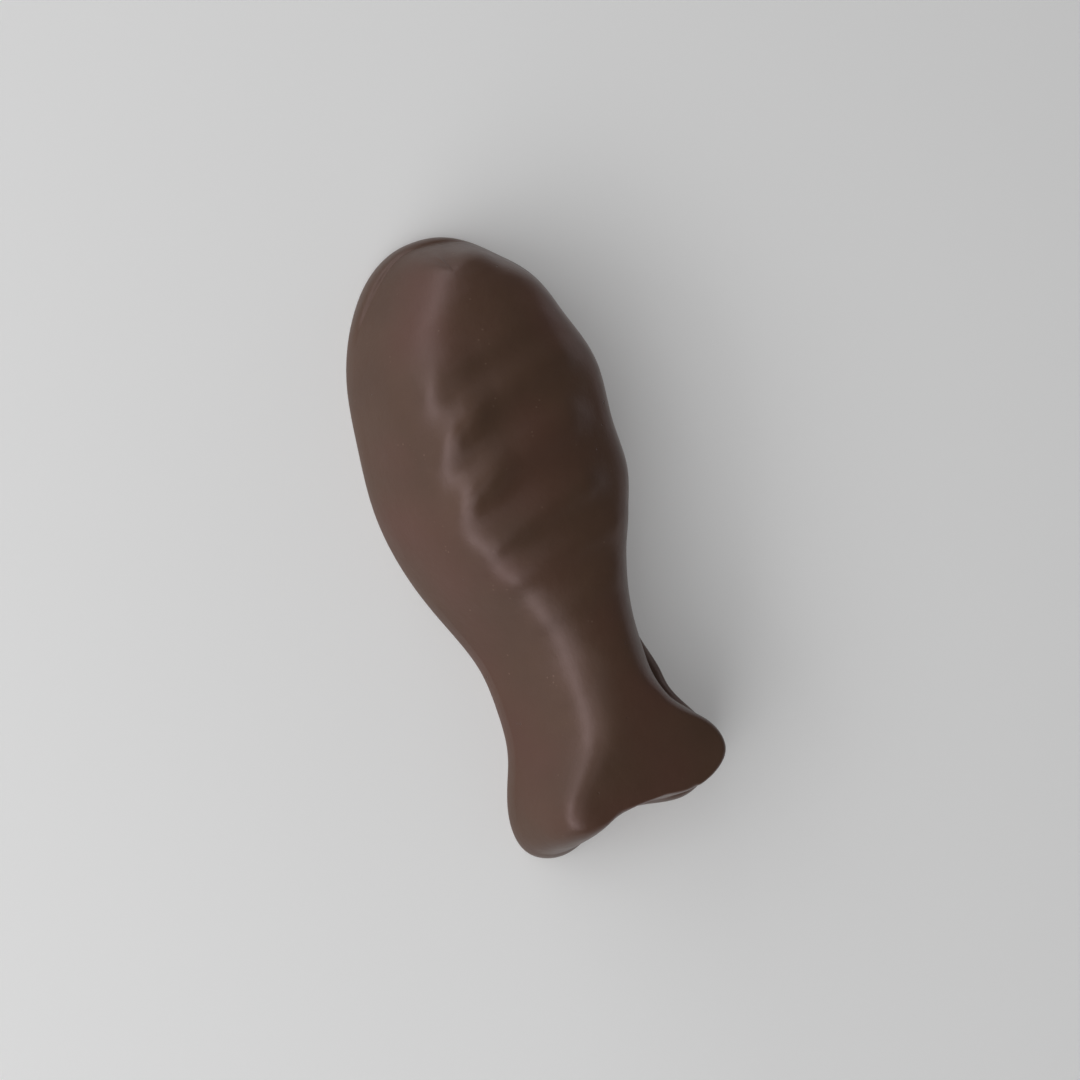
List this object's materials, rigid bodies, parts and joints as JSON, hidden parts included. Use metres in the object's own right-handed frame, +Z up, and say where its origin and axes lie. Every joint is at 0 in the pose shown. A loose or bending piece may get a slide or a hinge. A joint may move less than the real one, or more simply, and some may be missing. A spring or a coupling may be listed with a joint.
{
  "type": "chocolate fish",
  "caption": "Fish-shaped chocolate sweet with a blunt nose, a full belly, a narrow waist, a two-lobed tail and slanting ridges across its back, lying on its flat underside.",
  "frame": {"origin": "centre of the outline's bounding box, on the plane of the flat underside", "axes": "+X towards the nose, +Y towards the fish's left side, +Z up out of the ridged back"},
  "size_m": [0.1, 0.0422, 0.0214],
  "materials": {
    "chocolate": "satin"
  },
  "bodies": {
    "root": {"chocolate_fish": "chocolate"}
  },
  "joints": []
}
